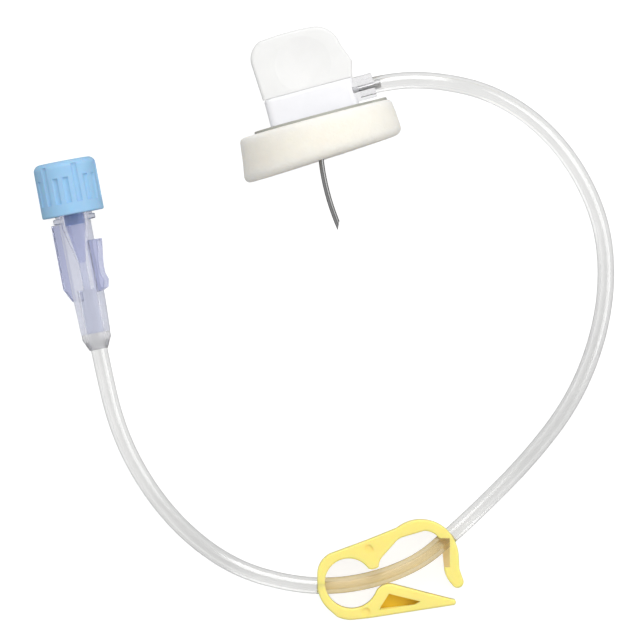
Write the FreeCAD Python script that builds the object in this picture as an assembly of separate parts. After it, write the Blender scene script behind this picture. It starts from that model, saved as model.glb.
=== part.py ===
# Non-coring port needle set: a bent steel cannula in a clear hub with a foam skin pad and a pull-off
# grip, a clear line, a pinch clamp on the line, and a winged lock connector with a ribbed cap.
# Millimetres, +Z up. The set lies as it comes to rest: the pad stands on its rim, the needle points
# along -Y and the hub's outlet along +X. The origin is on the surface it lies on, under the middle of
# the hub, pad and needle.
import FreeCAD, Part
import math
import os

V = FreeCAD.Vector
UP = V(0, 0, 1)

# Foam pad
FOAM_D = 27.2
FOAM_THICKNESS = 6.9
FOAM_TOP_EDGE_R = 0.7
FOAM_SKIN_EDGE_R = 1.3
FOAM_HOLE_D = 2.2
FOAM_HOLE_X = -0.5

# Cannula: a tail in the line, a right-angle bend in the hub, and a gentle non-coring curve below it
CANNULA_D = 0.9
CANNULA_BORE_D = 0.6
CANNULA_BEND_R = 1.6
CANNULA_TAIL_IN_LINE = 3.8
CANNULA_STRAIGHT_BELOW_PAD_TOP = 0.4
CANNULA_LEAN_DEG = 9.0
CANNULA_LEAN_R = 20.0
CANNULA_LEANING_RUN = 3.05
CANNULA_CURVE_R = 40.0
CANNULA_CURVE_DEG = 18.0
BEVEL_DEG = 35.0
CANNULA_SEAT_GAP = 0.02

# Hub: one clear moulding of platform, body and outlet socket
PLATFORM_D = 21.0
PLATFORM_THICKNESS = 0.5
PLATFORM_TAB_REACH = 12.6
PLATFORM_TAB_WIDTH = 6.4
PLATFORM_EDGE_R = 0.2
HUB_LEFT = 7.55
HUB_RIGHT = 7.9
HUB_TOP = 5.2
HUB_WIDTH = 4.7
HUB_END_R = 1.3
HUB_TOP_EDGE_R = 0.5
OUTLET_HEIGHT = 3.0
OUTLET_D = 4.2
OUTLET_REACH = 11.15
OUTLET_EDGE_R = 0.25
SOCKET_DEPTH = 2.7
SOCKET_GAP = 0.03

# Pull-off grip: a flat blade with a thumb dish on each face and a key that sits in the hub's slot
GRIP_FOOT_THICKNESS = 2.9
GRIP_TOP_THICKNESS = 2.0
GRIP_SEAT_GAP = 0.05
GRIP_EDGE_R = 0.6
GRIP_KEY_LENGTH = 9.0
GRIP_KEY_WIDTH = 1.2
GRIP_KEY_DEPTH = 1.2
GRIP_KEY_X = -1.5
GRIP_KEY_GAP = 0.1
DISH_D = 9.0
DISH_DEPTH = 0.3
DISH_X = 0.4
DISH_ABOVE_HUB = 5.7
GRIP_OUTLINE = {
    "foot_left": (-7.7, 0.0),
    "side_left": (-8.0, 6.0),
    "shoulder_left": (-7.5, 8.3),
    "corner_left": (-5.7, 9.8),
    "crown": (-1.2, 10.1),
    "corner_right": (3.65, 9.9),
    "shoulder_right": (5.7, 9.05),
    "side_right": (7.35, 6.0),
    "flare_right": (8.6, 2.65),
    "foot_right": (7.95, 0.0),
}

# Line
LINE_D = 2.8
LINE_BORE_D = 1.2
LINE_ARC_SHARE = 0.45
LINE_IN_CONNECTOR = 7.5
LINE_TURNS_BEFORE_CONNECTOR = 5.0

# Pinch clamp, drawn in its own frame: X along the line at the back wall, the round window near it
CLAMP_X = -18.44
CLAMP_Y = -76.67
CLAMP_TURN_DEG = -15.0
CLAMP_THICKNESS = 6.6
CLAMP_HOLE_D = 3.6
CLAMP_HOLE_Y = -0.15
CLAMP_WINDOW_R = 4.4
CLAMP_WINDOW_X = 4.05
CLAMP_WINDOW_Y = 0.4
CLAMP_WALL = 1.3
CLAMP_JAW_CORNER = (7.0, 2.75)
LATCH_SLOT_LEFT_X = 18.6
LATCH_SLOT_LEDGE_Y = 3.0
LATCH_SLOT_TOP_Y = 7.9
LATCH_RECESS_RIGHT_X = 20.8
LATCH_HOLE_X = 20.46
LATCH_HOLE_Y = 7.92
LATCH_HOLE_DEG = 42.5
LATCH_HOLE_LENGTH = 7.0
POCKET_DEPTH = 2.2
POCKET_CORNERS = [(10.5, -1.5), (15.8, -2.8), (14.8, -3.35), (8.9, -4.0)]
MARK_D = 1.5
MARK_DEPTH = 0.25
MARK_UPPER = (7.1, 6.05)
MARK_LOWER = (6.6, -4.6)

# Lock connector, drawn along +Y from the end that holds the line
CONNECTOR_X = -45.26
CONNECTOR_Y = -25.3
CONNECTOR_TURN_DEG = -4.3
BARREL_D = 5.4
BARREL_END_D = 5.0
BARREL_TAPER_LENGTH = 5.5
CONNECTOR_LENGTH = 28.3
CONNECTOR_EDGE_R = 0.2
FLANGE_D = 7.2
FLANGE_THICKNESS = 0.9
FLANGE_Y = 19.2
NECK_D = 6.3
LUG_REACH = 3.9
LUG_WIDTH = 2.6
LUG_THICKNESS = 1.3
TAPER_MOUTH_D = 4.3
TAPER_PER_MM = 0.06
TAPER_DEPTH = 10.0
FUNNEL_END_Y = 12.1
WING_TURN_DEG = 48.0
WING_THICKNESS = 1.3
WING_EDGE_R = 0.35
WING_LEFT = [(0.0, 5.6), (-2.5, 5.6), (-3.9, 5.9), (-5.7, 8.2), (-5.7, 19.2), (0.0, 19.2)]
WING_RIGHT = [
    (0.0, 15.8), (5.6, 15.6), (4.8, 11.2), (4.8, 9.8), (5.4, 8.6), (5.0, 7.3), (3.5, 6.8), (0.0, 6.8)
]

# Sleeve at the connector's end
SLEEVE_D = 4.9
SLEEVE_LENGTH = 2.8
SLEEVE_TAPER = 1.9
SLEEVE_GAP = 0.08

# Ribbed cap
CAP_D = 10.6
CAP_LENGTH = 9.2
CAP_ABOVE_FLANGE = 0.4
CAP_TOP_WALL = 1.3
CAP_TOP_EDGE_R = 1.2
CAP_RIM_EDGE_R = 0.25
CAP_LUG_GAP = 0.25
CAP_BAND = 2.0
CAP_GROOVES = 18
CAP_GROOVES_PER_LONG = 3
CAP_GROOVE_WIDTH = 1.1
CAP_GROOVE_DEPTH = 0.35
CAP_LONG_GROOVE_LENGTH = 6.5
CAP_SHORT_GROOVE_LENGTH = 4.4
CAP_FIRST_GROOVE_DEG = 18.0
PLUG_GAP = 0.08
PLUG_LENGTH = 9.7

# Places that follow from the sizes above. Heights along Y are counted from the top of the pad.
PAD_CENTRE_Z = FOAM_D / 2
GRIP_TOP = HUB_TOP + GRIP_SEAT_GAP + GRIP_OUTLINE["crown"][1]
SOCKET_FLOOR_X = OUTLET_REACH - SOCKET_DEPTH
LEAN = math.radians(CANNULA_LEAN_DEG)
CURVE = math.radians(CANNULA_CURVE_DEG)
CANNULA_DEPTH = (
    CANNULA_STRAIGHT_BELOW_PAD_TOP
    + CANNULA_LEAN_R * math.sin(LEAN)
    + CANNULA_LEANING_RUN * math.cos(LEAN)
    + CANNULA_CURVE_R * (math.sin(LEAN) + math.sin(CURVE - LEAN))
)
PAD_TOP_Y = (CANNULA_DEPTH - GRIP_TOP) / 2
CAP_AXIS_Z = CAP_D / 2
CAP_RIM_Y = FLANGE_Y + FLANGE_THICKNESS + CAP_ABOVE_FLANGE
CLAMP_MID_Z = CLAMP_THICKNESS / 2


def turned(x, y, degrees):
    """The point (x, y) turned about the origin."""
    a = math.radians(degrees)
    return x * math.cos(a) - y * math.sin(a), x * math.sin(a) + y * math.cos(a)


def connector_point(y):
    """A point on the connector's axis, as far from its line end as y."""
    dx, dy = turned(0, y, CONNECTOR_TURN_DEG)
    return V(CONNECTOR_X + dx, CONNECTOR_Y + dy, CAP_AXIS_Z)


# The line's route, from its end in the hub's socket to its end in the connector. Straight runs from
# point to point are joined by tangent arcs. The middle points are chosen to lie as the line does.
LINE_START = [
    V(SOCKET_FLOOR_X, OUTLET_HEIGHT, PAD_CENTRE_Z),
    V(SOCKET_FLOOR_X + 5.7, OUTLET_HEIGHT, PAD_CENTRE_Z),
]
LINE_TO_CLAMP = [
    V(21.9, 0.9, 12.6),
    V(29.8, -3.2, 11.2),
    V(36.4, -10.1, 8.8),
    V(40.8, -19.1, 6.0),
    V(42.6, -29.6, 3.4),
    V(40.7, -40.1, 1.9),
    V(36.0, -49.8, 1.5),
    V(29.2, -58.2, 1.4),
    V(19.9, -65.2, 1.5),
    V(10.4, -70.7, 2.3),
    V(3.9, -74.1, CLAMP_MID_Z),
    V(-2.1, -77.0, CLAMP_MID_Z),
]
LINE_BETWEEN_JAWS = V(-9.6, -78.0, CLAMP_MID_Z)
LINE_FROM_CLAMP = [
    V(-17.2, -77.4, CLAMP_MID_Z),
    V(-24.7, -74.9, 2.6),
    V(-32.7, -70.1, 1.4),
    V(-39.2, -62.4, 1.5),
    V(-43.7, -52.9, 2.0),
    V(-46.0, -42.2, 3.8),
]
LINE_END = [connector_point(-LINE_TURNS_BEFORE_CONNECTOR), connector_point(LINE_IN_CONNECTOR)]
LINE_ROUTE = LINE_START + LINE_TO_CLAMP + [LINE_BETWEEN_JAWS] + LINE_FROM_CLAMP + LINE_END
# The stretch between the jaws runs between the middles of the runs beside this point of the route.
JAW_POINT = LINE_ROUTE.index(LINE_BETWEEN_JAWS)


def placed(shape):
    """A shape drawn from the top of the pad, moved to the frame of the set."""
    return shape.translated(V(0, PAD_TOP_Y, 0))


def turned_and_placed(shape, at, turn_deg):
    """A shape drawn in its own frame, turned about Z, moved to its place and to the frame of the set."""
    moved = shape.copy()
    moved.Placement = FreeCAD.Placement(at, FreeCAD.Rotation(UP, turn_deg))
    return placed(moved)


def closed_outline(segments):
    """A closed wire in the XY plane. Each segment is its end point, or the point it bends through and its end."""
    edges = []
    start = V(*segments[-1][-1], 0)
    for segment in segments:
        end = V(*segment[-1], 0)
        if len(segment) == 2:
            edges.append(Part.Arc(start, V(*segment[0], 0), end).toShape())
        else:
            edges.append(Part.LineSegment(start, end).toShape())
        start = end
    return Part.Wire(edges)


def prism(segments, thickness, bottom=None):
    """A closed outline given a thickness along Z, about the XY plane unless its bottom is given."""
    low = -thickness / 2 if bottom is None else bottom
    face = Part.Face(closed_outline(segments))
    return face.translated(V(0, 0, low)).extrude(V(0, 0, thickness))


def revolved(profile):
    """A solid turned about the Y axis from (radius, y) corners."""
    corners = [V(r, y, 0) for r, y in profile]
    face = Part.Face(Part.makePolygon(corners + corners[:1]))
    return face.revolve(V(0, 0, 0), V(0, 1, 0), 360)


def level_edges(solid, y, radius_above=0.0):
    """The edges of a solid that lie wholly at height y, farther than radius_above from the Y axis."""
    found = []
    for edge in solid.Edges:
        box = edge.BoundBox
        reach = max(abs(box.XMin), abs(box.XMax), abs(box.ZMin), abs(box.ZMax))
        if abs(box.YMin - y) < 1e-4 and abs(box.YMax - y) < 1e-4 and reach > radius_above:
            found.append(edge)
    return found


def face_edges(solid, z):
    """The edges of a solid that lie wholly at height z."""
    return [e for e in solid.Edges if abs(e.BoundBox.ZMin - z) < 1e-4 and abs(e.BoundBox.ZMax - z) < 1e-4]


def foam_pad():
    """A die-cut disc of foam with a hole for the cannula."""
    disc = Part.makeCylinder(FOAM_D / 2, FOAM_THICKNESS, V(0, -FOAM_THICKNESS, 0), V(0, 1, 0))
    disc = disc.makeFillet(FOAM_TOP_EDGE_R, level_edges(disc, 0))
    disc = disc.makeFillet(FOAM_SKIN_EDGE_R, level_edges(disc, -FOAM_THICKNESS))
    hole = Part.makeCylinder(
        FOAM_HOLE_D / 2, FOAM_THICKNESS, V(FOAM_HOLE_X, -FOAM_THICKNESS, 0), V(0, 1, 0)
    )
    return disc.cut(hole).translated(V(0, 0, PAD_CENTRE_Z))


def cannula_path():
    """The middle line of the cannula, from its tail to its tip, and its direction at the tip."""
    edges = []

    def run(start, direction, length):
        end = start + direction * length
        edges.append(Part.LineSegment(start, end).toShape())
        return end

    def bend(start, direction, radius, angle_deg):
        side = 1 if angle_deg > 0 else -1
        centre = start + UP.cross(direction) * radius * side

        def on_arc(degrees):
            turn = FreeCAD.Rotation(UP, degrees)
            return centre + turn.multVec(start - centre)

        end = on_arc(angle_deg)
        edges.append(Part.Arc(start, on_arc(angle_deg / 2), end).toShape())
        return end, FreeCAD.Rotation(UP, angle_deg).multVec(direction)

    at = V(SOCKET_FLOOR_X + CANNULA_TAIL_IN_LINE, OUTLET_HEIGHT, PAD_CENTRE_Z)
    heading = V(-1, 0, 0)
    at = run(at, heading, at.x - CANNULA_BEND_R)
    at, heading = bend(at, heading, CANNULA_BEND_R, 90)
    at = run(at, heading, at.y + CANNULA_STRAIGHT_BELOW_PAD_TOP)
    at, heading = bend(at, heading, CANNULA_LEAN_R, -CANNULA_LEAN_DEG)
    at = run(at, heading, CANNULA_LEANING_RUN)
    at, heading = bend(at, heading, CANNULA_CURVE_R, CANNULA_CURVE_DEG)
    return Part.Wire(edges), at, heading


def swept(path, radius):
    """A round bar of one radius along a path."""
    start = path.OrderedVertexes[0].Point
    first = path.OrderedEdges[0]
    tangent = first.tangentAt(first.FirstParameter)
    if (first.valueAt(first.FirstParameter) - start).Length > 1e-6:
        tangent = -first.tangentAt(first.LastParameter)
    section = Part.Wire(Part.makeCircle(radius, start, tangent))
    return path.makePipeShell([section], True, False)


def cannula():
    """A bent steel tube, ground to a long side-facing bevel at the tip."""
    path, tip, heading = cannula_path()
    tube = swept(path, CANNULA_D / 2).cut(swept(path, CANNULA_BORE_D / 2))
    across = UP.cross(heading)
    point = tip - across * CANNULA_D / 2
    grind = FreeCAD.Rotation(UP, -BEVEL_DEG).multVec(heading)
    size = 4 * CANNULA_D / math.sin(math.radians(BEVEL_DEG))
    normal = UP.cross(grind)
    corner = point - grind * size - UP * size / 2
    stone = Part.makeBox(size * 2, size, size)
    stone.Placement = FreeCAD.Placement(corner, FreeCAD.Rotation(grind, normal, UP, "XYZ"))
    return tube.cut(stone)


def grip_outline():
    """The blade's outline above the hub, as segments."""
    p = GRIP_OUTLINE
    return [
        (p["side_left"],),
        (p["shoulder_left"], p["corner_left"]),
        (p["crown"], p["corner_right"]),
        (p["shoulder_right"], p["side_right"]),
        (p["flare_right"],),
        (p["foot_right"],),
        (p["foot_left"],),
    ]


def grip_key(gap):
    """The key under the blade, or with a gap the slot for it. Its top is at the blade's foot."""
    depth = GRIP_KEY_DEPTH + gap
    length = GRIP_KEY_LENGTH + 2 * gap
    width = GRIP_KEY_WIDTH + 2 * gap
    return Part.makeBox(length, depth, width, V(GRIP_KEY_X - length / 2, -depth, -width / 2))


def grip():
    """A tapering blade with rounded edges, a dish for the thumb on each face, and its key."""
    height = GRIP_OUTLINE["crown"][1]
    blade = prism(grip_outline(), GRIP_FOOT_THICKNESS)
    wide = GRIP_FOOT_THICKNESS / 2
    narrow = GRIP_TOP_THICKNESS / 2
    reach = 2 * HUB_LEFT
    taper = Part.Face(
        Part.makePolygon(
            [V(-reach, 0, -wide), V(-reach, 0, wide), V(-reach, height, narrow), V(-reach, height, -narrow), V(-reach, 0, -wide)]
        )
    ).extrude(V(2 * reach, 0, 0))
    blade = blade.common(taper)
    rim = [e for e in blade.Edges if e.BoundBox.YMax > 1e-3 and not is_across(e)]
    blade = blade.makeFillet(GRIP_EDGE_R, rim)
    dish_r = (DISH_D**2 / 4 + DISH_DEPTH**2) / (2 * DISH_DEPTH)
    for side in (-1, 1):
        face_z = wide + (narrow - wide) * DISH_ABOVE_HUB / height
        ball = Part.makeSphere(dish_r, V(DISH_X, DISH_ABOVE_HUB, side * (face_z + dish_r - DISH_DEPTH)))
        blade = blade.cut(ball)
    solid = blade.fuse(grip_key(0)).removeSplitter()
    return solid.translated(V(0, HUB_TOP + GRIP_SEAT_GAP, PAD_CENTRE_Z))


def is_across(edge):
    """True of an edge that runs through the blade's thickness."""
    return edge.BoundBox.ZLength > 1.5


def hub():
    """Platform, body and outlet socket, with the slot for the grip and the way for the cannula."""
    platform = Part.makeCylinder(PLATFORM_D / 2, PLATFORM_THICKNESS, V(0, 0, 0), V(0, 1, 0))
    tab_end = PLATFORM_TAB_REACH - PLATFORM_TAB_WIDTH / 2
    tab = Part.makeBox(tab_end, PLATFORM_THICKNESS, PLATFORM_TAB_WIDTH, V(0, 0, -PLATFORM_TAB_WIDTH / 2))
    tab_round = Part.makeCylinder(PLATFORM_TAB_WIDTH / 2, PLATFORM_THICKNESS, V(tab_end, 0, 0), V(0, 1, 0))
    platform = platform.fuse([tab, tab_round]).removeSplitter()
    platform = platform.makeFillet(PLATFORM_EDGE_R, level_edges(platform, PLATFORM_THICKNESS))

    body = Part.makeBox(HUB_LEFT + HUB_RIGHT, HUB_TOP, HUB_WIDTH, V(-HUB_LEFT, 0, -HUB_WIDTH / 2))
    uprights = [e for e in body.Edges if e.BoundBox.YLength > HUB_TOP / 2]
    body = body.makeFillet(HUB_END_R, uprights)
    body = body.makeFillet(HUB_TOP_EDGE_R, level_edges(body, HUB_TOP))

    outlet = Part.makeCylinder(OUTLET_D / 2, OUTLET_REACH, V(0, OUTLET_HEIGHT, 0), V(1, 0, 0))
    rim = [e for e in outlet.Edges if e.BoundBox.XMin > OUTLET_REACH - 1e-4]
    outlet = outlet.makeFillet(OUTLET_EDGE_R, rim)
    socket = Part.makeCylinder(
        LINE_D / 2 + SOCKET_GAP, SOCKET_DEPTH, V(SOCKET_FLOOR_X, OUTLET_HEIGHT, 0), V(1, 0, 0)
    )
    solid = platform.fuse([body, outlet]).removeSplitter()
    solid = solid.cut(socket).cut(grip_key(GRIP_KEY_GAP).translated(V(0, HUB_TOP, 0)))
    solid = solid.translated(V(0, 0, PAD_CENTRE_Z))
    path, _, _ = cannula_path()
    return solid.cut(swept(path, CANNULA_D / 2 + CANNULA_SEAT_GAP))


def line_path(points, first=0, last=None):
    """The route from the middle of run first to the middle of run last, or to its ends."""
    last = len(points) - 2 if last is None else last
    middle = [(a + b) * 0.5 for a, b in zip(points, points[1:])]
    at = points[0] if first == 0 else middle[first]
    edges = []
    radii = []
    for i in range(first + 1, last + 1):
        corner = points[i]
        back = points[i - 1] - corner
        ahead = points[i + 1] - corner
        turn = math.pi - back.getAngle(ahead)
        radius = LINE_ARC_SHARE * min(back.Length, ahead.Length) / math.tan(turn / 2)
        setback = radius * math.tan(turn / 2)
        back.normalize()
        ahead.normalize()
        start = corner + back * setback
        end = corner + ahead * setback
        inward = (back + ahead).normalize()
        crest = corner + inward * (radius / math.cos(turn / 2) - radius)
        edges.append(Part.LineSegment(at, start).toShape())
        edges.append(Part.Arc(start, crest, end).toShape())
        at = end
        radii.append(radius)
    finish = points[-1] if last == len(points) - 2 else middle[last]
    edges.append(Part.LineSegment(at, finish).toShape())
    print("line bend radii, mm:", ", ".join(f"{radius:.1f}" for radius in radii))
    return Part.Wire(edges)


def line_stretch(first, last):
    """A stretch of the line with its bore."""
    path = line_path(LINE_ROUTE, first, last)
    solid = swept(path, LINE_D / 2).cut(swept(path, LINE_BORE_D / 2))
    section = math.pi * (LINE_D**2 - LINE_BORE_D**2) / 4
    print(f"line from run {first}: length {path.Length:.2f} mm, volume share {solid.Volume / path.Length / section:.4f}")
    return solid


def clamp_upper_outline():
    """The beam with the fixed jaw, the back wall's upper half, and the latch arm with its hook."""
    left = CLAMP_WINDOW_X - CLAMP_WINDOW_R
    return [
        ((left, 0.0),),
        ((left - CLAMP_WALL, 0.0),),
        ((left - CLAMP_WALL, 1.8),),
        ((-0.95, 4.0), (0.6, 5.3)),
        ((6.7, 7.55),),
        ((11.8, 9.6),),
        ((16.5, 11.05), (20.2, 9.45)),
        ((21.75, 7.3), (22.35, 4.6)),
        ((22.45, 2.7),),
        ((23.15, 0.7),),
        ((22.5, -0.45), (21.2, 0.05)),
        ((20.25, 1.4), (19.85, 3.1)),
        ((19.4, 7.2),),
        ((18.4, 8.5), (16.5, 9.15)),
        ((12.9, 8.1),),
        ((12.1, 7.7), (11.4, 7.0)),
        ((9.4, 4.75),),
        ((8.95, 4.0), (8.8, 3.1)),
        ((7.95, 2.65), CLAMP_JAW_CORNER),
        ((3.3, 4.45), (left, CLAMP_WINDOW_Y)),
    ]


def clamp_lower_outline():
    """The tongue with the moving jaw and the back wall's lower half."""
    left = CLAMP_WINDOW_X - CLAMP_WINDOW_R
    return [
        ((left - CLAMP_WALL, 0.0),),
        ((-1.15, -2.2), (0.2, -4.1)),
        ((1.7, -5.4),),
        ((3.0, -5.85), (4.6, -5.9)),
        ((7.1, -5.65),),
        ((21.3, -3.45),),
        ((21.85, -3.0), (21.3, -2.45)),
        ((16.7, -1.3),),
        ((11.3, 0.1),),
        ((9.7, 0.0), (8.4, -1.0)),
        ((CLAMP_WINDOW_X, CLAMP_WINDOW_Y - CLAMP_WINDOW_R), (left, 0.0)),
    ]


def clamp_back_hole():
    """The line's hole in the back wall."""
    reach = CLAMP_WINDOW_X
    start = V(CLAMP_WINDOW_X - CLAMP_WINDOW_R - reach, CLAMP_HOLE_Y, CLAMP_MID_Z)
    return Part.makeCylinder(CLAMP_HOLE_D / 2, reach + CLAMP_WALL / 2, start, V(1, 0, 0))


def clamp_mark(at):
    """A shallow round mark in the clamp's upper face."""
    return Part.makeCylinder(MARK_D / 2, MARK_DEPTH, V(*at, CLAMP_THICKNESS - MARK_DEPTH))


def clamp_upper():
    """Half of the clamp with the fixed jaw. Its arm has the line's second hole and the latch slot."""
    half = prism(clamp_upper_outline(), CLAMP_THICKNESS, bottom=0)
    slot = Part.makeBox(
        2 * CLAMP_WINDOW_R,
        LATCH_SLOT_TOP_Y - LATCH_SLOT_LEDGE_Y,
        CLAMP_HOLE_D,
        V(LATCH_SLOT_LEFT_X, LATCH_SLOT_LEDGE_Y, CLAMP_MID_Z - CLAMP_HOLE_D / 2),
    )
    recess = Part.makeBox(
        LATCH_RECESS_RIGHT_X - LATCH_SLOT_LEFT_X,
        LATCH_SLOT_TOP_Y - LATCH_SLOT_LEDGE_Y,
        CLAMP_THICKNESS - CLAMP_MID_Z,
        V(LATCH_SLOT_LEFT_X, LATCH_SLOT_LEDGE_Y, CLAMP_MID_Z),
    )
    along = V(*turned(1, 0, LATCH_HOLE_DEG), 0)
    start = V(LATCH_HOLE_X, LATCH_HOLE_Y, CLAMP_MID_Z) - along * LATCH_HOLE_LENGTH / 2
    hole = Part.makeCylinder(CLAMP_HOLE_D / 2, LATCH_HOLE_LENGTH, start, along)
    return half.cut([slot, recess, hole, clamp_back_hole(), clamp_mark(MARK_UPPER)])


def clamp_lower():
    """Half of the clamp with the moving jaw. A pocket in it keeps the moulding evenly thick."""
    half = prism(clamp_lower_outline(), CLAMP_THICKNESS, bottom=0)
    corners = [V(x, y, CLAMP_THICKNESS - POCKET_DEPTH) for x, y in POCKET_CORNERS]
    pocket = Part.Face(Part.makePolygon(corners + corners[:1])).extrude(V(0, 0, POCKET_DEPTH))
    return half.cut([pocket, clamp_back_hole(), clamp_mark(MARK_LOWER)])


def clamp_in_place(half):
    """A half of the clamp, moved to its place on the line."""
    return turned_and_placed(half, V(CLAMP_X, CLAMP_Y, 0), CLAMP_TURN_DEG)


def wing(corners):
    """A thin wing on the connector's barrel, turned about the barrel's axis."""
    plate = prism([(corner,) for corner in corners], WING_THICKNESS)
    rims = face_edges(plate, -WING_THICKNESS / 2) + face_edges(plate, WING_THICKNESS / 2)
    plate = plate.makeFillet(WING_EDGE_R, rims)
    return plate.rotate(V(0, 0, 0), V(0, 1, 0), -WING_TURN_DEG)


def connector():
    """A barrel that holds the line, two wings, a stop flange, and a taper socket with lock lugs."""
    seat_r = LINE_D / 2 + SOCKET_GAP
    flange_top = FLANGE_Y + FLANGE_THICKNESS
    barrel = revolved([
        (0, 0),
        (BARREL_END_D / 2, 0),
        (BARREL_D / 2, BARREL_TAPER_LENGTH),
        (BARREL_D / 2, FLANGE_Y),
        (FLANGE_D / 2, FLANGE_Y),
        (FLANGE_D / 2, flange_top),
        (NECK_D / 2, flange_top),
        (NECK_D / 2, CONNECTOR_LENGTH),
        (0, CONNECTOR_LENGTH),
    ])
    rims = level_edges(barrel, FLANGE_Y, NECK_D / 2) + level_edges(barrel, flange_top, NECK_D / 2 + 0.1)
    barrel = barrel.makeFillet(CONNECTOR_EDGE_R, rims)
    bore = revolved([
        (0, 0),
        (seat_r, 0),
        (seat_r, LINE_IN_CONNECTOR),
        (LINE_BORE_D / 2, LINE_IN_CONNECTOR),
        (LINE_BORE_D / 2, FUNNEL_END_Y),
        (taper_r(CONNECTOR_LENGTH - TAPER_DEPTH), CONNECTOR_LENGTH - TAPER_DEPTH),
        (taper_r(CONNECTOR_LENGTH), CONNECTOR_LENGTH),
        (0, CONNECTOR_LENGTH),
    ])
    lugs = Part.makeBox(
        2 * LUG_REACH,
        LUG_THICKNESS,
        LUG_WIDTH,
        V(-LUG_REACH, CONNECTOR_LENGTH - LUG_THICKNESS, -LUG_WIDTH / 2),
    )
    lugs = lugs.common(Part.makeCylinder(LUG_REACH, CONNECTOR_LENGTH, V(0, 0, 0), V(0, 1, 0)))
    return barrel.fuse([lugs, wing(WING_LEFT), wing(WING_RIGHT)]).removeSplitter().cut(bore)


def taper_r(y):
    """The radius of the connector's taper socket at a distance from its line end."""
    return (TAPER_MOUTH_D - TAPER_PER_MM * (CONNECTOR_LENGTH - y)) / 2


def sleeve():
    """A ring glued round the line where it enters the connector, tapering away from it."""
    inner = LINE_D / 2 + SLEEVE_GAP
    return revolved([
        (inner, 0),
        (SLEEVE_D / 2, 0),
        (SLEEVE_D / 2, SLEEVE_TAPER - SLEEVE_LENGTH),
        (inner + SLEEVE_GAP, -SLEEVE_LENGTH),
        (inner, -SLEEVE_LENGTH),
    ])


def cap():
    """A cup with grooves round its side and a taper plug in the middle."""
    top = CAP_RIM_Y + CAP_LENGTH
    ceiling = top - CAP_TOP_WALL
    inner = LUG_REACH + CAP_LUG_GAP
    plug_end = ceiling - PLUG_LENGTH
    cup = revolved([
        (0, top),
        (CAP_D / 2, top),
        (CAP_D / 2, CAP_RIM_Y),
        (inner, CAP_RIM_Y),
        (inner, ceiling),
        (taper_r(ceiling) - PLUG_GAP, ceiling),
        (taper_r(plug_end) - PLUG_GAP, plug_end),
        (0, plug_end),
    ])
    cup = cup.makeFillet(CAP_TOP_EDGE_R, level_edges(cup, top))
    cup = cup.makeFillet(CAP_RIM_EDGE_R, level_edges(cup, CAP_RIM_Y))
    groove_r = (CAP_GROOVE_WIDTH**2 / 4 + CAP_GROOVE_DEPTH**2) / (2 * CAP_GROOVE_DEPTH)
    out = CAP_D / 2 + groove_r - CAP_GROOVE_DEPTH
    grooves = []
    for i in range(CAP_GROOVES):
        a = math.radians(CAP_FIRST_GROOVE_DEG + i * 360 / CAP_GROOVES)
        is_long = i % CAP_GROOVES_PER_LONG == 0
        length = CAP_LONG_GROOVE_LENGTH if is_long else CAP_SHORT_GROOVE_LENGTH
        start = V(out * math.sin(a), CAP_RIM_Y + CAP_BAND, out * math.cos(a))
        grooves.append(Part.makeCylinder(groove_r, length, start, V(0, 1, 0)))
    return cup.cut(grooves)


def on_connector(shape):
    """A shape drawn along the connector's axis, moved to its place."""
    return turned_and_placed(shape, connector_point(0), CONNECTOR_TURN_DEG)


def main():
    os.makedirs("parts", exist_ok=True)
    last_run = len(LINE_ROUTE) - 2
    parts = {
        "foam_pad": placed(foam_pad()),
        "hub": placed(hub()),
        "cannula": placed(cannula()),
        "grip": placed(grip()),
        "line_hub_side": placed(line_stretch(0, JAW_POINT - 1)),
        "line_in_jaws": placed(line_stretch(JAW_POINT - 1, JAW_POINT)),
        "line_connector_side": placed(line_stretch(JAW_POINT, last_run)),
        "clamp_upper": clamp_in_place(clamp_upper()),
        "clamp_lower": clamp_in_place(clamp_lower()),
        "connector": on_connector(connector()),
        "line_sleeve": on_connector(sleeve()),
        "cap": on_connector(cap()),
    }
    for name, shape in parts.items():
        shape.exportStep(f"parts/{name}.step")
        box = shape.optimalBoundingBox(False)
        print(
            f"{name}: {len(shape.Solids)} solid, valid {shape.isValid()}, {shape.Volume:.2f} mm3,",
            f"X {box.XMin:.2f} {box.XMax:.2f}, Y {box.YMin:.2f} {box.YMax:.2f}, Z {box.ZMin:.2f} {box.ZMax:.2f}",
        )


main()
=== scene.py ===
"""The looks of a port needle set: foam pad, clear hub, steel needle, grip, line, clamp, connector and cap."""

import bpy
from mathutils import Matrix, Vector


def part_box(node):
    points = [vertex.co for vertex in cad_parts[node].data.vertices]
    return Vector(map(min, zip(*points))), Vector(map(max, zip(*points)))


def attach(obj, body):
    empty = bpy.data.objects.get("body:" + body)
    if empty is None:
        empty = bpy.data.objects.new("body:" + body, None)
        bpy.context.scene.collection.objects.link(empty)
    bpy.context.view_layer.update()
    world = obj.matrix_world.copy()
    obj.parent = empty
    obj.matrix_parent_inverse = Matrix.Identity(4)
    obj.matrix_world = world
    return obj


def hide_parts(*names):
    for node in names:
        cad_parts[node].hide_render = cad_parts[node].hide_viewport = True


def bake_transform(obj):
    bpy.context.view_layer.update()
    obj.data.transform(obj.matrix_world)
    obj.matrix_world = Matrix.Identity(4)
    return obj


bl_info = {
    "name": "Port needle set",
    "version": (1, 0, 0),
    "blender": (4, 5, 0),
    "location": "3D View > Sidebar > Needle set",
    "description": "Finishes each piece of a port needle set and lays it on a pale floor",
    "category": "Object",
}

import math

import bmesh
import bpy
from bpy.props import FloatProperty, FloatVectorProperty, PointerProperty
from mathutils import Vector, noise

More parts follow.
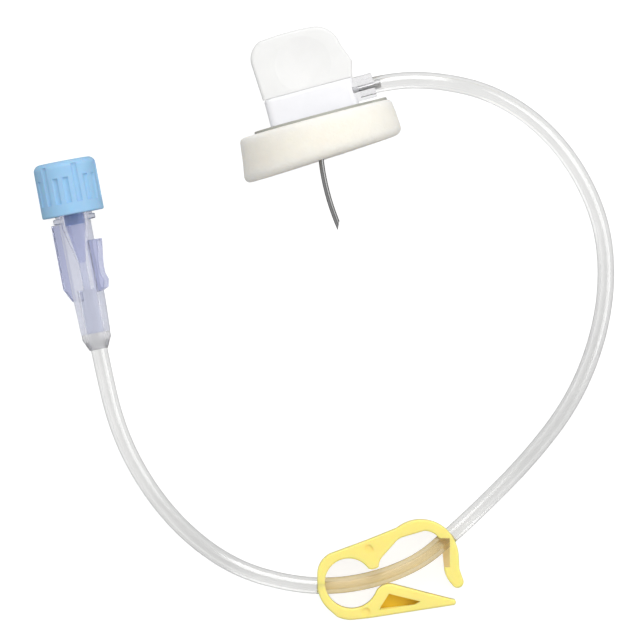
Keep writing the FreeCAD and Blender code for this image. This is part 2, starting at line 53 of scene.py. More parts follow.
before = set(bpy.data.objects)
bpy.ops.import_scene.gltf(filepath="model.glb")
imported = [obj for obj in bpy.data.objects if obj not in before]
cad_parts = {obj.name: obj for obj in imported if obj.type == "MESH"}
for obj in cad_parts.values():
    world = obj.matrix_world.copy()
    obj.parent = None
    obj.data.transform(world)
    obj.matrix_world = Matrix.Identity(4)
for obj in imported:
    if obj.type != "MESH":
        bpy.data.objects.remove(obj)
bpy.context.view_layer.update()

# Lengths are in metres. Heights along Y are counted from the top of the pad, as in the part's source.
PAD_LOW, PAD_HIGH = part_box("foam_pad")
PAD_TOP = PAD_HIGH[1]
SKIN_FACE = PAD_LOW[1]
PAD_WIDTH = PAD_HIGH[0] - PAD_LOW[0]
PAD_CENTRE_Z = PAD_WIDTH / 2

# The hub's clear outlet starts at this share of its width, and its platform is this thick
HUB_OUTLET_SHARE = 0.8
PLATFORM_THICKNESS = 0.0006

# The clamp's own frame, in which it was drawn
CLAMP_TURN = math.radians(-15)
CLAMP_ORIGIN = (-0.01844, -0.07667 + PAD_TOP)
CLAMP_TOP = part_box("clamp_upper")[1][2]
# In that frame: the middles of the two round marks, the latch slot's ends in x and y, the pocket's corners
CLAMP_MARKS = ((0.0071, 0.00605), (0.0066, -0.0046))
LATCH = (0.0184, 0.021, 0.0028, 0.0081)
POCKET = ((0.0105, -0.0015), (0.0158, -0.0028), (0.0148, -0.00335), (0.0089, -0.004))
# A mark's edge is no further from its middle than this
MARK_REACH = 0.0008
# A point this near to a corner of the pocket, or to the slot's outer wall, belongs to it
CORNER_REACH = 0.0001
# Depths below the clamp's top: the pocket's floor lies between the first two, the latch slot below the third
POCKET_DEPTHS = (0.001, 0.004)
SLOT_DEPTH = 0.0005
# Halfway between the walls that the line runs through, and how far from there they are; the line's faces
# within that reach get the clamp's yellow as painted reflection
CLAMP_MIDDLE = Vector((-0.00784, -0.07537 + PAD_TOP, 0.0033))
CLAMP_REACH = 0.0116

# Where the line goes into the hub and into the connector
HUB_RIM = 0.01115
CONNECTOR_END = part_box("line_sleeve")[1][1] - 0.0002
# The connector's line end, and the direction of its axis
CONNECTOR_START = Vector((-0.04526, -0.0253 + PAD_TOP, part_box("cap")[1][2] / 2))
CONNECTOR_TURN = math.radians(4.3)
CONNECTOR_AXIS = Vector((math.sin(CONNECTOR_TURN), math.cos(CONNECTOR_TURN), 0))
# The wings are further from that axis than this, and end here along it
WING_START = 0.0028
WINGS_END = 0.019
# The funnel and the cap's plug are nearer to it than this, and the funnel starts here along it
PLUG_REACH = 0.0022
FUNNEL_START = 0.012

# Points that are nearer to each other than this are one point
SAME_POINT = 0.00001
# A face looks along an axis where this much of its normal lies along it
FACING = 0.9

# The route of the line, from the hub's socket to the connector's
LINE_ROUTE = [
    (0.00845, 0.003, 0.0136),
    (0.01415, 0.003, 0.0136),
    (0.0219, 0.0009, 0.0126),
    (0.0298, -0.0032, 0.0112),
    (0.0364, -0.0101, 0.0088),
    (0.0408, -0.0191, 0.006),
    (0.0426, -0.0296, 0.0034),
    (0.0407, -0.0401, 0.0019),
    (0.036, -0.0498, 0.0015),
    (0.0292, -0.0582, 0.0014),
    (0.0199, -0.0652, 0.0015),
    (0.0104, -0.0707, 0.0023),
    (0.0039, -0.0741, 0.0033),
    (-0.0021, -0.077, 0.0033),
    (-0.0096, -0.078, 0.0033),
    (-0.0172, -0.0774, 0.0033),
    (-0.0247, -0.0749, 0.0026),
    (-0.0327, -0.0701, 0.0014),
    (-0.0392, -0.0624, 0.0015),
    (-0.0437, -0.0529, 0.002),
    (-0.046, -0.0422, 0.0038),
    (-0.0456349, -0.0302859, 0.0053),
    (-0.0446976, -0.0178211, 0.0053),
]
# The route's point that lies between the jaws
JAW_POINT = 14
# Where the closing jaw starts to lift the line and where it carries it, in the clamp's own frame,
# on the side of the wall that bends and on the side of the latch
LIFT_AT_JAWS = ((0.006, 0.0005), (0.01, 0.0016))
LIFT_AT_LATCH = ((0.0205, 0.005), (0.0125, 0.0022))


def colour_prop(name, words, value):
    """A colour that the user can change."""
    return FloatVectorProperty(
        name=name, description=words, subtype="COLOR", size=3, min=0, max=1, default=value
    )


def length_prop(name, words, value):
    """A length that the user can change, in metres."""
    return FloatProperty(name=name, description=words, unit="LENGTH", min=0, precision=5, default=value)


class NeedleSetColours(bpy.types.PropertyGroup):
    """Colours of the set's pieces"""

    foam: colour_prop("Foam", "Cream of the skin pad's foam", (1.0, 0.9, 0.81))
    hub: colour_prop("Hub", "Milky white of the hub", (0.87, 0.87, 0.89))
    outlet: colour_prop("Outlet", "Tint of the hub's clear outlet", (0.98, 0.98, 0.99))
    # The platform rim's grey is painted shade: it stands in for the dark line of shade between the hub and
    # the pad
    platform_rim_shade: colour_prop("Platform rim shade", "Grey painted as shade on the clear platform's rim", (0.6, 0.61, 0.55))
    steel: colour_prop("Needle", "Grey of the needle's steel", (0.27, 0.27, 0.27))
    # Paler than the needle's own grey: painted light on the steel inside the clear outlet, where the lamps'
    # light does not reach it
    steel_painted_light_in_outlet: colour_prop("Needle in outlet with painted light", "Paler grey painted as light on the steel seen through it", (0.6, 0.6, 0.61))
    grip: colour_prop("Grip", "White of the pull-off grip", (0.82, 0.82, 0.81))
    line: colour_prop("Line", "Tint of the clear line", (0.98, 0.98, 0.975))
    # The yellow on the line in the clamp is painted reflection of the clamp, not a tint of the clear line
    line_in_clamp: colour_prop("Line in clamp with painted reflection", "Yellow of the clamp painted as a reflection on the line", (1.0, 0.9, 0.66))
    clamp: colour_prop("Clamp", "Yellow of the clamp", (1.0, 0.81, 0.24))
    # The deeper yellow in the pocket is painted shade of the recess, not a colour of its own
    pocket: colour_prop("Pocket shade", "Deeper yellow painted as shade in the clamp's pocket", (1.0, 0.7, 0.03))
    # The paler yellow in the latch slot is painted light that brightens the shaded recess
    slot: colour_prop("Latch slot painted light", "Pale orange painted as light in the clamp's latch slot", (1.0, 0.8, 0.42))
    connector: colour_prop("Connector", "Lavender of the clear connector's barrel", (0.84, 0.858, 0.953))
    # The deeper lavender on the wings and in the funnel is painted shade on one clear moulding
    wings: colour_prop("Wings and funnel shade", "Deeper lavender painted as shade on the connector's wings and funnel", (0.66, 0.69, 0.91))
    sleeve: colour_prop("Sleeve", "Tint of the clear sleeve", (0.95, 0.95, 0.97))
    cap: colour_prop("Cap", "Sky blue of the cap", (0.33, 0.57, 0.81))
    # The deeper blue of the plug is painted shade inside the connector, on the same blue moulding as the cap
    plug: colour_prop("Plug shade", "Deeper blue painted as shade on the cap's plug", (0.2, 0.47, 0.88))
    floor: colour_prop("Floor", "White of the floor", (0.3, 0.3, 0.3))


class NeedleSetSizes(bpy.types.PropertyGroup):
    """Sizes of what is made here and not in the part's source"""

    line_diameter: length_prop("Line diameter", "Outside of the clear line", 0.0028)
    line_bore: length_prop("Line bore", "Inside of the clear line", 0.0012)
    foam_top_edge: length_prop("Foam edge at the hub", "Radius of the pad's rim under the hub", 0.0007)
    foam_skin_edge: length_prop("Foam edge at the skin", "Radius of the pad's rim on the skin", 0.0013)
    foam_bulge: length_prop("Foam bulge", "How much wider the pad is at the skin than at the hub", 0.0004)
    foam_shear: length_prop("Foam shear", "How far the pad's skin face is pushed to the left", 0.0004)
    foam_grain: length_prop("Foam grain", "How far the foam's cells stand out", 0.00004)
    foam_wedge: FloatProperty(
        name="Foam wedge", description="How much thicker the pad is on its left than on its right",
        default=0.1
    )
    clamp_rim: length_prop("Clamp rim", "Rounding of the clamp's rims", 0.00032)


def node(tree, kind, at=(0, 0), **values):
    """A new node. Values named like its inputs are set on them, and others on the node."""
    made = tree.nodes.new(kind)
    made.location = at
    for key, value in values.items():
        label = key.replace("_", " ")
        if label in made.inputs:
            made.inputs[label].default_value = value
        else:
            setattr(made, key, value)
    return made


def new_material(name):
    """A new material with a Principled shader, and that shader."""
    material = bpy.data.materials.new(name)
    material.use_nodes = True
    material.node_tree.nodes.clear()
    tree = material.node_tree
    shader = node(tree, "ShaderNodeBsdfPrincipled", (300, 0))
    output = node(tree, "ShaderNodeOutputMaterial", (600, 0))
    tree.links.new(shader.outputs["BSDF"], output.inputs["Surface"])
    return material, shader


# How far the tone of moulded plastic swings about its own colour
TONE_SWING = 0.06


def moulded_surface():
    """The node group for the faint waviness and mottled gloss of moulded plastic."""
    name = "Moulded surface"
    if name in bpy.data.node_groups:
        return bpy.data.node_groups[name]
    group = bpy.data.node_groups.new(name, "ShaderNodeTree")
    for label, kind, value in (
        ("Colour", "NodeSocketColor", (1, 1, 1, 1)),
        ("Roughness", "NodeSocketFloat", 0.3),
        ("Wave size", "NodeSocketFloat", 400.0),
        ("Mottle", "NodeSocketFloat", 0.1),
    ):
        socket = group.interface.new_socket(label, in_out="INPUT", socket_type=kind)
        socket.default_value = value
    for label, kind in (
        ("Colour", "NodeSocketColor"),
        ("Roughness", "NodeSocketFloat"),
        ("Height", "NodeSocketFloat"),
    ):
        group.interface.new_socket(label, in_out="OUTPUT", socket_type=kind)
    given = node(group, "NodeGroupInput", (-600, 0))
    result = node(group, "NodeGroupOutput", (500, 0))
    place = node(group, "ShaderNodeTexCoord", (-600, -250))
    waves = node(group, "ShaderNodeTexNoise", (-400, -250), Detail=3.0)
    group.links.new(place.outputs["Object"], waves.inputs["Vector"])
    group.links.new(given.outputs["Wave size"], waves.inputs["Scale"])
    # The noise, which goes from 0 to 1, taken about 0
    swing = node(group, "ShaderNodeMath", (-200, -250), operation="SUBTRACT")
    swing.inputs[1].default_value = 0.5
    group.links.new(waves.outputs["Fac"], swing.inputs[0])
    gloss = node(group, "ShaderNodeMath", (0, -250), operation="MULTIPLY_ADD")
    group.links.new(swing.outputs[0], gloss.inputs[0])
    group.links.new(given.outputs["Mottle"], gloss.inputs[1])
    group.links.new(given.outputs["Roughness"], gloss.inputs[2])
    shade = node(group, "ShaderNodeMath", (0, -420), operation="MULTIPLY_ADD")
    shade.inputs[1].default_value = TONE_SWING
    shade.inputs[2].default_value = 1.0
    group.links.new(swing.outputs[0], shade.inputs[0])
    tone = node(group, "ShaderNodeVectorMath", (200, 0), operation="SCALE")
    group.links.new(given.outputs["Colour"], tone.inputs[0])
    group.links.new(shade.outputs[0], tone.inputs["Scale"])
    group.links.new(tone.outputs[0], result.inputs["Colour"])
    group.links.new(gloss.outputs[0], result.inputs["Roughness"])
    group.links.new(waves.outputs["Fac"], result.inputs["Height"])
    return group


def moulded(name, colour, roughness, depth=0.00002, wave=400.0, mottle=0.1, **shader_values):
    """A moulded plastic. Values named like the shader's sockets are set on it."""
    material, shader = new_material(name)
    tree = material.node_tree
    surface = node(tree, "ShaderNodeGroup", (-200, 0), node_tree=moulded_surface())
    surface.inputs["Colour"].default_value = (*colour, 1)
    surface.inputs["Roughness"].default_value = roughness
    surface.inputs["Wave size"].default_value = wave
    surface.inputs["Mottle"].default_value = mottle
    tree.links.new(surface.outputs["Colour"], shader.inputs["Base Color"])
    tree.links.new(surface.outputs["Roughness"], shader.inputs["Roughness"])
    if depth:
        bump = node(tree, "ShaderNodeBump", (50, -250), Distance=depth)
        tree.links.new(surface.outputs["Height"], bump.inputs["Height"])
        tree.links.new(bump.outputs["Normal"], shader.inputs["Normal"])
    for key, value in shader_values.items():
        shader.inputs[key.replace("_", " ")].default_value = value
    return material


def on_connector(at):
    """How far a point is along the connector from its line end, and how far from its axis."""
    along = (at - CONNECTOR_START).dot(CONNECTOR_AXIS)
    return along, (at - CONNECTOR_START - CONNECTOR_AXIS * along).length


def in_clamp(at):
    """A point's place in the clamp's own frame, in which it was drawn."""
    x, y = at.x - CLAMP_ORIGIN[0], at.y - CLAMP_ORIGIN[1]
    cos, sin = math.cos(CLAMP_TURN), math.sin(CLAMP_TURN)
    return x * cos + y * sin, y * cos - x * sin


def finish_node(name, slot, *materials):
    """Gives a CAD node its materials. The first of them is on all its faces."""
    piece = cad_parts[name]
    piece.data.materials.clear()
    for material in materials:
        piece.data.materials.append(material)
    return piece


def soften(piece, width, is_rim):
    """Rounds off the edges of a CAD node that is_rim finds, given the two ends of an edge."""
    data = piece.data
    weights = data.attributes.new("bevel_weight_edge", "FLOAT", "EDGE")
    places = [piece.matrix_world @ v.co for v in data.vertices]
    for edge in data.edges:
        low, high = (places[i] for i in edge.vertices)
        weights.data[edge.index].value = 1.0 if is_rim(low, high) else 0.0
    weld = piece.modifiers.new("weld", "WELD")
    weld.merge_threshold = SAME_POINT
    flat = piece.modifiers.new("flat faces", "DECIMATE")
    flat.decimate_type = "DISSOLVE"
    flat.angle_limit = math.radians(0.5)
    bevel = piece.modifiers.new("rims", "BEVEL")
    bevel.width = width
    bevel.segments = 3
    bevel.limit_method = "WEIGHT"
    bevel.use_clamp_overlap = False
    bevel.harden_normals = True


def new_mesh_object(name, mesh):
    """A mesh object in the scene, smooth shaded."""
    for face in mesh.polygons:
        face.use_smooth = True
    piece = bpy.data.objects.new(name, mesh)
    bpy.context.scene.collection.objects.link(piece)
    return piece


def line_points(route):
    """The points that a smooth line through these control points passes, in the frame of the set."""
    curve = bpy.data.curves.new("line_guide", "CURVE")
    curve.dimensions = "3D"
    curve.resolution_u = 20
    spline = curve.splines.new("NURBS")
    spline.points.add(len(route) - 1)
    for point, at in zip(spline.points, route):
        point.co = (at[0], at[1] + PAD_TOP, at[2], 1)
    spline.order_u = 3
    spline.use_endpoint_u = True
    guide = bpy.data.objects.new("line_guide", curve)
    bpy.context.scene.collection.objects.link(guide)
    mesh = bpy.data.meshes.new_from_object(guide)
    points = [v.co.copy() for v in mesh.vertices]
    bpy.data.objects.remove(guide)
    bpy.data.meshes.remove(mesh)
    return points


def line_tube(name, points):
    """A clear tube with its bore along the points, open at both ends."""
    sizes = bpy.context.scene.needle_set_sizes
    # The radius and the sides of the outer and the inner wall, and which way their faces turn
    walls = ((sizes.line_diameter / 2, 48, 1), (sizes.line_bore / 2, 32, -1))
    mesh = bmesh.new()
    normal = Vector((0, 0, 1))
    rings = [[], []]
    for i, at in enumerate(points):
        ahead = points[min(i + 1, len(points) - 1)] - points[max(i - 1, 0)]
        ahead.normalize()
        normal = (normal - ahead * normal.dot(ahead)).normalized()
        side = ahead.cross(normal)
        for wall, (radius, count, _) in enumerate(walls):
            turns = (2 * math.pi * k / count for k in range(count))
            rings[wall].append([
                mesh.verts.new(at + (normal * math.cos(a) + side * math.sin(a)) * radius) for a in turns
            ])
    for wall, (_, count, way) in enumerate(walls):
        for low, high in zip(rings[wall], rings[wall][1:]):
            for k in range(count):
                corners = [low[k], low[(k + 1) % count], high[(k + 1) % count], high[k]]
                mesh.faces.new(corners[::way])
    bmesh.ops.recalc_face_normals(mesh, faces=mesh.faces)
    data = bpy.data.meshes.new(name)
    mesh.to_mesh(data)
    mesh.free()
    return new_mesh_object(name, data)


FLOOR_WIDTH = 3.0
# How bright the floor is to the camera beyond the light on it, and how bright it is through clear pieces
FLOOR_GLOW = 0.86
GLOW_THROUGH_CLEAR = 0.6
WORLD_STRENGTH = 0.57
# Each lamp's name, place, width in metres and power in watts
LAMPS = (
    ("key", (0.28, 1.02, 1.0), 1.1, 11.5),
    ("right fill", (0.5, -0.15, 0.45), 0.45, 1.25),
    ("left fill", (-0.5, 0.1, 0.4), 0.8, 0.55),
)
LAMPS_AIM = Vector((0, -0.03, 0))
CAMERA_PLACE = (-0.00797, -0.03301 + PAD_TOP, 2.0)
# The photograph was taken with the set turned by this much
CAMERA_TURN = math.radians(-15)
CAMERA_LENS = 661.8


class NEEDLE_OT_stage(bpy.types.Operator):
    """Lays the floor and sets the lights and the camera"""

    bl_idname = "needle_set.stage"
    bl_label = "Stage"

    def execute(self, context):
        scene = context.scene
        colours = scene.needle_set_colours
        mesh = bpy.data.meshes.new("floor")
        half = FLOOR_WIDTH / 2
        mesh.from_pydata(
            [(-half, -half, 0), (half, -half, 0), (half, half, 0), (-half, half, 0)], [], [(0, 1, 2, 3)]
        )
        floor = bpy.data.objects.new("floor", mesh)
        scene.collection.objects.link(floor)
        floor.data.materials.append(self.floor_material(colours.floor))
        self.lights(scene)
        self.camera(scene)
        scene.view_settings.view_transform = "Standard"
        return {"FINISHED"}

    def floor_material(self, colour):
        """A pale floor that looks white to the camera and through clear pieces, and keeps shadows."""
        material, shader = new_material("Pale floor")
        tree = material.node_tree
        shader.inputs["Base Color"].default_value = (*colour, 1)
        shader.inputs["Roughness"].default_value = 0.9
        shader.inputs["Specular IOR Level"].default_value = 0.1
        shader.inputs["Emission Color"].default_value = (1, 1, 1, 1)
        path = node(tree, "ShaderNodeLightPath", (-600, 0))
        through = node(tree, "ShaderNodeMath", (-300, -100), operation="MULTIPLY")
        through.inputs[1].default_value = GLOW_THROUGH_CLEAR
        tree.links.new(path.outputs["Is Transmission Ray"], through.inputs[0])
        glow = node(tree, "ShaderNodeMath", (0, 0), operation="MULTIPLY_ADD")
        glow.inputs[1].default_value = FLOOR_GLOW
        tree.links.new(path.outputs["Is Camera Ray"], glow.inputs[0])
        tree.links.new(through.outputs[0], glow.inputs[2])
        tree.links.new(glow.outputs[0], shader.inputs["Emission Strength"])
        return material

    def lights(self, scene):
        """A white world and three soft lamps."""
        world = bpy.data.worlds.new("Studio")
        scene.world = world
        world.use_nodes = True
        sky = world.node_tree.nodes["Background"]
        sky.inputs["Color"].default_value = (1, 1, 1, 1)
        sky.inputs["Strength"].default_value = WORLD_STRENGTH
        for name, at, size, power in LAMPS:
            lamp = bpy.data.lights.new(name, "AREA")
            lamp.size = size
            lamp.energy = power
            lamp_object = bpy.data.objects.new(name, lamp)
            scene.collection.objects.link(lamp_object)
            lamp_object.location = at
            aim = LAMPS_AIM - Vector(at)
            lamp_object.rotation_euler = aim.to_track_quat("-Z", "Y").to_euler()

    def camera(self, scene):
        """The camera looks straight down from 2 m."""
        data = bpy.data.cameras.new("camera")
        data.sensor_width = 36
        data.lens = CAMERA_LENS
        data.clip_end = 10
        camera = bpy.data.objects.new("camera", data)
        scene.collection.objects.link(camera)
        camera.location = CAMERA_PLACE
        camera.rotation_euler = (0, 0, CAMERA_TURN)
        scene.camera = camera


class NEEDLE_OT_line(bpy.types.Operator):
    """Makes the clear line in its stretches: hub side, between the jaws, and connector side"""

    bl_idname = "needle_set.line"
    bl_label = "Line"

    def execute(self, context):
        scene = context.scene
        colours = scene.needle_set_colours
        clear = moulded(
            "Clear line", colours.line, 0.08, depth=0, wave=150.0, mottle=0.04,
            Transmission_Weight=1.0, IOR=1.45, Coat_Weight=1.0, Coat_Roughness=0.12
        )
        # Painted reflection: the clear line takes on the clamp's yellow where it runs through the clamp
        clamp_reflection = moulded(
            "Line in clamp with painted reflection", colours.line_in_clamp, 0.25, depth=0, wave=150.0, mottle=0.04,
            Transmission_Weight=0.8, IOR=1.16, Coat_Weight=0.6, Coat_Roughness=0.12
        )
        bonded = moulded(
            "Line where it is glued in", colours.line, 0.08, depth=0, wave=150.0, mottle=0.04,
            Transmission_Weight=1.0, IOR=1.03
        )
        route = [Vector(p) for p in LINE_ROUTE]
        before = (route[JAW_POINT - 1] + route[JAW_POINT]) / 2
        after = (route[JAW_POINT] + route[JAW_POINT + 1]) / 2
        hub_points = line_points(route[:JAW_POINT] + [before])
        jaw_points = line_points([before, route[JAW_POINT], after])
        end_points = line_points([after] + route[JAW_POINT + 1:])
        hub_side = line_tube("line_from_hub", hub_points)
        end_side = line_tube("line_to_connector", end_points)
        in_jaws = line_tube("line_in_clamp", jaw_points)
        for piece in (hub_side, in_jaws, end_side):
            for material in (clear, clamp_reflection, bonded):
                piece.data.materials.append(material)
            for face in piece.data.polygons:
                # Faces inside the clamp get the painted reflection of the yellow clamp
                if (face.center - CLAMP_MIDDLE).length < CLAMP_REACH:
                    face.material_index = 1
                elif self.glued(face.center):
                    face.material_index = 2
        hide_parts("line_hub_side")
        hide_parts("line_connector_side")
        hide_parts("line_in_jaws")
        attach(end_side, "set")
        for piece, (start, end) in ((hub_side, LIFT_AT_LATCH), (in_jaws, LIFT_AT_JAWS)):
            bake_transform(piece)
        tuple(hub_points[0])
        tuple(end_points[0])
        return {"FINISHED"}

    def glued(self, at):
        """True of a point of the line that is in the hub's socket or in the connector."""
        return 0 < at.x < HUB_RIM and at.y > SKIN_FACE or at.x < 0 and at.y > CONNECTOR_END


# Across the hole that the needle goes through
FOAM_HOLE = 0.0018
# The pad's mesh has this many sides round, and this many steps along each face and round each rim
FOAM_SIDES = 240
FACE_STEPS = 14
RIM_STEPS = 6
# The foam's lumps to a metre
FOAM_LUMPS = 1400
# How dark the foam's darker patches are
FOAM_SHADE = 0.93


class NEEDLE_OT_pad(bpy.types.Operator):
    """Makes the foam pad"""

    bl_idname = "needle_set.pad"
    bl_label = "Foam pad"

    def execute(self, context):
        scene = context.scene
        sizes = scene.needle_set_sizes
        radius = PAD_WIDTH / 2
        top_edge = sizes.foam_top_edge
        skin_edge = sizes.foam_skin_edge
        thickness = PAD_TOP - SKIN_FACE
        hole = FOAM_HOLE / 2
        quarter = [math.pi / 2 * k / RIM_STEPS for k in range(1, RIM_STEPS + 1)]
        steps = range(1, FACE_STEPS + 1)
        wall = thickness - top_edge - skin_edge
        # From the hole out along the top, round the rims, and back along the skin face
        profile = [(hole + (radius - top_edge - hole) * k / FACE_STEPS, 0.0) for k in (0, *steps)]
        profile += [
            (radius - top_edge + top_edge * math.sin(a), top_edge * math.cos(a) - top_edge) for a in quarter
        ]
        profile += [(radius, -top_edge - wall * k / FACE_STEPS) for k in steps]
        profile += [
            (radius - skin_edge + skin_edge * math.cos(a), skin_edge - thickness - skin_edge * math.sin(a))
            for a in quarter
        ]
        profile += [
            (radius - skin_edge + (hole - radius + skin_edge) * k / FACE_STEPS, -thickness) for k in steps
        ]
        mesh = bmesh.new()
        turns = [2 * math.pi * k / FOAM_SIDES for k in range(FOAM_SIDES)]
        rings = [
            [mesh.verts.new(self.place(r, y, angle, radius, thickness)) for angle in turns]
            for r, y in profile
        ]
        for low, high in zip(rings, rings[1:] + rings[:1]):
            for k in range(FOAM_SIDES):
                ahead = (k + 1) % FOAM_SIDES
                mesh.faces.new((low[k], low[ahead], high[ahead], high[k]))
        bmesh.ops.recalc_face_normals(mesh, faces=mesh.faces)
        data = bpy.data.meshes.new("pad_foam")
        mesh.to_mesh(data)
        mesh.free()
        pad = new_mesh_object("pad_foam", data)
        pad.data.materials.append(self.material(scene.needle_set_colours.foam))
        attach(pad, "set")
        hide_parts("foam_pad")
        return {"FINISHED"}

    def place(self, r, y, angle, radius, thickness):
        """Where a point of the pad's profile comes to lie in soft foam that bulges and leans a little."""
        sizes = bpy.context.scene.needle_set_sizes
        across, up = math.cos(angle), math.sin(angle)
        depth = -y / thickness
        grain = noise.noise(Vector((r * across, y, r * up)) * FOAM_LUMPS) * sizes.foam_grain
        on_rim = r > radius - sizes.foam_skin_edge
        reach = r + (grain if on_rim else 0)
        bulge = 1 + (2 * depth - 1) * sizes.foam_bulge / radius
        x = reach * across * bulge - depth**3 * sizes.foam_shear
        low = y * (1 - sizes.foam_wedge * x / radius)
        return x, PAD_TOP + low + (0 if on_rim else grain), PAD_CENTRE_Z + reach * up

    def material(self, colour):
        """Cream foam with fine cells."""
        material, shader = new_material("Cream foam")
        tree = material.node_tree
        place = node(tree, "ShaderNodeTexCoord", (-900, 0))
        cells = node(tree, "ShaderNodeTexVoronoi", (-650, -100), Scale=2600.0)
        patches = node(tree, "ShaderNodeTexNoise", (-650, 200), Scale=500.0, Detail=4.0)
        tree.links.new(place.outputs["Object"], cells.inputs["Vector"])
        tree.links.new(place.outputs["Object"], patches.inputs["Vector"])
        tone = node(tree, "ShaderNodeMix", (-350, 200), data_type="RGBA")
        dark = tuple(c * FOAM_SHADE for c in colour)
        tone.inputs["A"].default_value = (*dark, 1)
        tone.inputs["B"].default_value = (*colour, 1)
        tree.links.new(patches.outputs["Fac"], tone.inputs["Factor"])
        tree.links.new(tone.outputs["Result"], shader.inputs["Base Color"])
        bump = node(tree, "ShaderNodeBump", (0, -250), Distance=0.00008, Strength=0.6)
        tree.links.new(cells.outputs["Distance"], bump.inputs["Height"])
        tree.links.new(bump.outputs["Normal"], shader.inputs["Normal"])
        shader.inputs["Roughness"].default_value = 0.95
        shader.inputs["Specular IOR Level"].default_value = 0.15
        shader.inputs["Subsurface Weight"].default_value = 1.0
        shader.inputs["Subsurface Radius"].default_value = (1, 0.95, 0.85)
        shader.inputs["Subsurface Scale"].default_value = 0.005
        return material


class NEEDLE_OT_hub(bpy.types.Operator):
    """Finishes the clear hub and the steel needle"""

    bl_idname = "needle_set.hub"
    bl_label = "Hub and needle"

    def execute(self, context):
        colours = context.scene.needle_set_colours
        milky = moulded(
            "Milky hub", colours.hub, 0.3, depth=0.00001, Subsurface_Weight=0.3, Subsurface_Scale=0.002,
            Subsurface_Radius=(1, 1, 1)
        )
        clear = moulded("Clear outlet", colours.outlet, 0.05, depth=0, Transmission_Weight=1.0, IOR=1.12)
        # The clear platform's side faces get a grey that is painted shade for the dark line between the hub
        # and the pad
        rim = moulded("Platform rim shade", colours.platform_rim_shade, 0.3, depth=0, Transmission_Weight=0.3)
        hub = finish_node("hub", "hub_plastic", milky, clear, rim)
        low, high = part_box("hub")
        body_right = low[0] + (high[0] - low[0]) * HUB_OUTLET_SHARE
        platform_top = low[1] + PLATFORM_THICKNESS
        for face in hub.data.polygons:
            middle = hub.matrix_world @ face.center
            normal = hub.matrix_world.to_3x3() @ face.normal
            if middle.y > platform_top and middle.x > body_right:
                face.material_index = 1
            # The platform's side faces take the grey painted shade
            elif middle.y < platform_top and abs(normal.y) < FACING:
                face.material_index = 2
        steel = moulded("Drawn steel", colours.steel, 0.2, depth=0.000004, wave=900.0, Metallic=1.0)
        # A paler copy of the steel, which is painted light for the needle inside the clear outlet
        steel_painted_light = moulded("Steel with painted light in clear plastic", colours.steel_painted_light_in_outlet, 0.35, depth=0, Metallic=1.0)
        needle = finish_node("cannula", "steel", steel, steel_painted_light)
        # The needle's faces inside the outlet take the paler steel, which is painted light
        for face in needle.data.polygons:
            if (needle.matrix_world @ face.center).x > body_right:
                face.material_index = 1
        return {"FINISHED"}


class NEEDLE_OT_grip(bpy.types.Operator):
    """Finishes the white grip"""

    bl_idname = "needle_set.grip"
    bl_label = "Grip"

    def execute(self, context):
        colours = context.scene.needle_set_colours
        white = moulded(
            "Frosted white", colours.grip, 0.5, Subsurface_Weight=0.15, Subsurface_Scale=0.002,
            Subsurface_Radius=(1, 1, 1)
        )
        finish_node("grip", "grip_plastic", white)
        return {"FINISHED"}


class NEEDLE_OT_clamp(bpy.types.Operator):
    """Finishes both halves of the clamp"""

    bl_idname = "needle_set.clamp"
    bl_label = "Clamp"

    def execute(self, context):
        colours = context.scene.needle_set_colours
        yellow = moulded(
            "Yellow plastic", colours.clamp, 0.35, Subsurface_Weight=0.6, Subsurface_Scale=0.002,
            Subsurface_Radius=(1, 0.7, 0.25)
        )
        # A deeper copy of the yellow, which is painted shade on the pocket's floor
        shade_paint = moulded(
            "Yellow with painted shade in hollows", colours.pocket, 0.4, Subsurface_Weight=0.3, Subsurface_Scale=0.001,
            Subsurface_Radius=(1, 0.7, 0.25)
        )
        # A paler copy of the yellow, which is painted light in the shaded latch slot
        pale = moulded(
            "Yellow with painted light in the latch slot", colours.slot, 0.4, Subsurface_Weight=0.3, Subsurface_Scale=0.001,
            Subsurface_Radius=(1, 0.7, 0.25)
        )
        for name in ("clamp_upper", "clamp_lower"):
            half = finish_node(name, "clamp_plastic", yellow, shade_paint, pale)
            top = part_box(name)[1][2]
            for face in half.data.polygons:
                middle = half.matrix_world @ face.center
                facing = (half.matrix_world.to_3x3() @ face.normal).z
                x, y = in_clamp(middle)
                in_latch = LATCH[0] < x < LATCH[1] - CORNER_REACH and LATCH[2] < y < LATCH[3]
                # The pocket's floor takes the deeper yellow painted shade
                if facing > FACING and POCKET_DEPTHS[0] < top - middle.z < POCKET_DEPTHS[1]:
                    face.material_index = 1
                # The latch slot's faces take the paler yellow painted light
                elif middle.z < top - SLOT_DEPTH and in_latch:
                    face.material_index = 2
            soften(half, context.scene.needle_set_sizes.clamp_rim, self.is_rim)
        return {"FINISHED"}

    def is_rim(self, low, high):
        """True of an edge round the clamp's flat sides, but not round what is sunk into them."""
        level = abs(low.z - high.z) < SAME_POINT
        on_side = min(abs(low.z), abs(low.z - CLAMP_TOP)) < SAME_POINT
        ends = [in_clamp(low), in_clamp(high)]
        in_latch = all(LATCH[0] < x < LATCH[1] and LATCH[2] < y < LATCH[3] for x, y in ends)
        where_halves_meet = all(abs(y) < 2 * SAME_POINT and x < 0 for x, y in ends)
        in_mark = any(all(math.dist(end, mark) < MARK_REACH for end in ends) for mark in CLAMP_MARKS)
        in_pocket = all(min(math.dist(end, corner) for corner in POCKET) < CORNER_REACH for end in ends)
        return level and on_side and not (where_halves_meet or in_mark or in_latch or in_pocket)


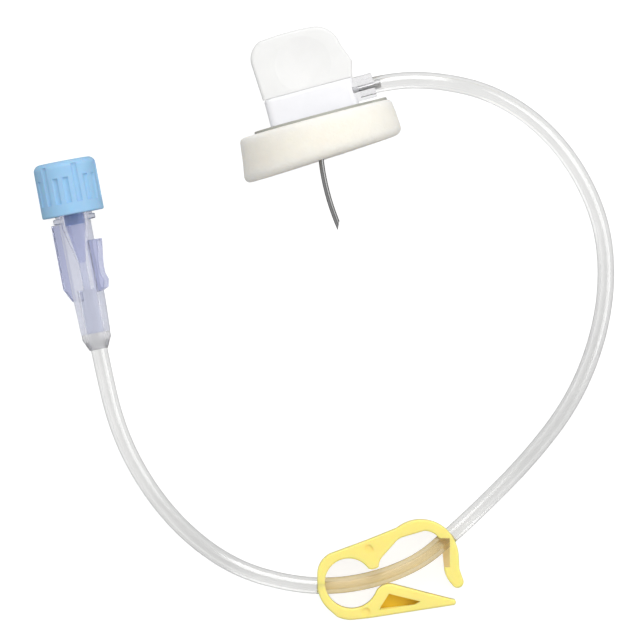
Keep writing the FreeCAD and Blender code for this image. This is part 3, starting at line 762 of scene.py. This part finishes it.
class NEEDLE_OT_connector(bpy.types.Operator):
    """Finishes the clear connector and its sleeve"""

    bl_idname = "needle_set.connector"
    bl_label = "Connector"

    def execute(self, context):
        colours = context.scene.needle_set_colours
        pale = moulded("Clear lavender", colours.connector, 0.1, Transmission_Weight=0.85, IOR=1.25)
        # A darker copy of the lavender, which is painted shade on the wings and in the funnel
        shade_paint = moulded("Lavender with painted shade", colours.wings, 0.12, Transmission_Weight=0.8, IOR=1.35)
        piece = finish_node("connector", "connector_plastic", pale, shade_paint)
        for face in piece.data.polygons:
            along, away = on_connector(piece.matrix_world @ face.center)
            on_wing = away > WING_START and along < WINGS_END
            in_funnel = away < PLUG_REACH and along > FUNNEL_START
            # The wings and the funnel take the darker lavender painted shade
            if on_wing or in_funnel:
                face.material_index = 1
        clear = moulded("Clear sleeve", colours.sleeve, 0.2, Transmission_Weight=0.8, IOR=1.45)
        finish_node("line_sleeve", "sleeve_plastic", clear)
        return {"FINISHED"}


class NEEDLE_OT_cap(bpy.types.Operator):
    """Finishes the ribbed cap"""

    bl_idname = "needle_set.cap"
    bl_label = "Cap"

    def execute(self, context):
        colours = context.scene.needle_set_colours
        blue = moulded(
            "Sky blue plastic", colours.cap, 0.55, Subsurface_Weight=0.25, Subsurface_Scale=0.001,
            Specular_IOR_Level=0.3
        )
        # A deeper copy of the cap's blue, which is painted shade on the plug
        shade_paint = moulded("Blue with painted shade on the plug", colours.plug, 0.4, Subsurface_Weight=0.25, Subsurface_Scale=0.001)
        piece = finish_node("cap", "cap_plastic", blue, shade_paint)
        for face in piece.data.polygons:
            facing = (piece.matrix_world.to_3x3() @ face.normal).dot(CONNECTOR_AXIS)
            away = on_connector(piece.matrix_world @ face.center)[1]
            on_closed_end = facing > FACING
            # The plug's faces take the deeper blue painted shade
            if away < PLUG_REACH and not on_closed_end:
                face.material_index = 1
        return {"FINISHED"}


OPERATORS = (
    NEEDLE_OT_stage,
    NEEDLE_OT_line,
    NEEDLE_OT_pad,
    NEEDLE_OT_hub,
    NEEDLE_OT_grip,
    NEEDLE_OT_clamp,
    NEEDLE_OT_connector,
    NEEDLE_OT_cap,
)


class NEEDLE_PT_panel(bpy.types.Panel):
    """Lists the set's pieces, sizes and colours"""

    bl_idname = "NEEDLE_PT_panel"
    bl_label = "Needle set"
    bl_space_type = "VIEW_3D"
    bl_region_type = "UI"
    bl_category = "Needle set"

    def draw(self, context):
        layout = self.layout
        for operator in OPERATORS:
            layout.operator(operator.bl_idname)
        for group in (context.scene.needle_set_colours, context.scene.needle_set_sizes):
            box = layout.box()
            for name in group.__annotations__:
                box.prop(group, name)


CLASSES = (NeedleSetColours, NeedleSetSizes) + OPERATORS + (NEEDLE_PT_panel,)


def register():
    for item in CLASSES:
        bpy.utils.register_class(item)
    bpy.types.Scene.needle_set_colours = PointerProperty(type=NeedleSetColours)
    bpy.types.Scene.needle_set_sizes = PointerProperty(type=NeedleSetSizes)


def unregister():
    del bpy.types.Scene.needle_set_colours
    del bpy.types.Scene.needle_set_sizes
    for item in reversed(CLASSES):
        bpy.utils.unregister_class(item)


def main():
    """Makes the whole set."""
    register()
    bpy.ops.needle_set.stage()
    bpy.ops.needle_set.line()
    bpy.ops.needle_set.pad()
    bpy.ops.needle_set.hub()
    bpy.ops.needle_set.grip()
    bpy.ops.needle_set.clamp()
    bpy.ops.needle_set.connector()
    bpy.ops.needle_set.cap()


if __name__ == "__main__":
    main()
